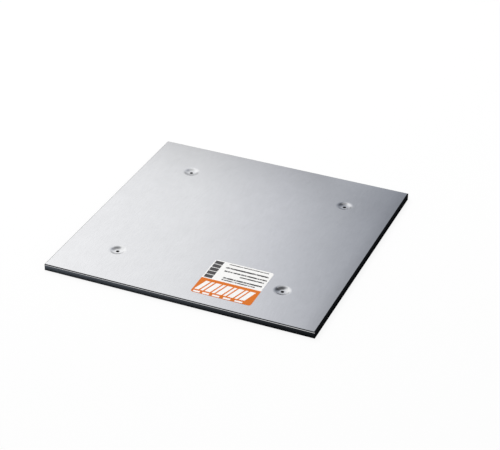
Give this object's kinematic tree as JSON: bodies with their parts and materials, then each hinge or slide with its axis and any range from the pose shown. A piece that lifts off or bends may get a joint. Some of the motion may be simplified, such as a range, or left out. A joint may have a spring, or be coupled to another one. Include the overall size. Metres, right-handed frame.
{
  "type": "heat shield plate",
  "caption": "Square heat shield plate of thin stainless sheet with turned-down rims, pressed screw dimples and a stick-on label.",
  "frame": {"origin": "middle of the square outline, on the plane of the rims' free edges that rest on the wall or floor", "axes": "+Z out of the face, away from the wall; +X to the right and +Y to the back as the plate lies with the label at the front"},
  "size_m": [0.5, 0.5, 0.0121],
  "materials": {
    "steel_sheet": "fine satin, with a darker polished look on the folded rims",
    "label_paper": "coated label stock, white field over an orange band"
  },
  "bodies": {
    "root": {"shield_plate": "steel_sheet", "label": "label_paper"}
  },
  "joints": []
}
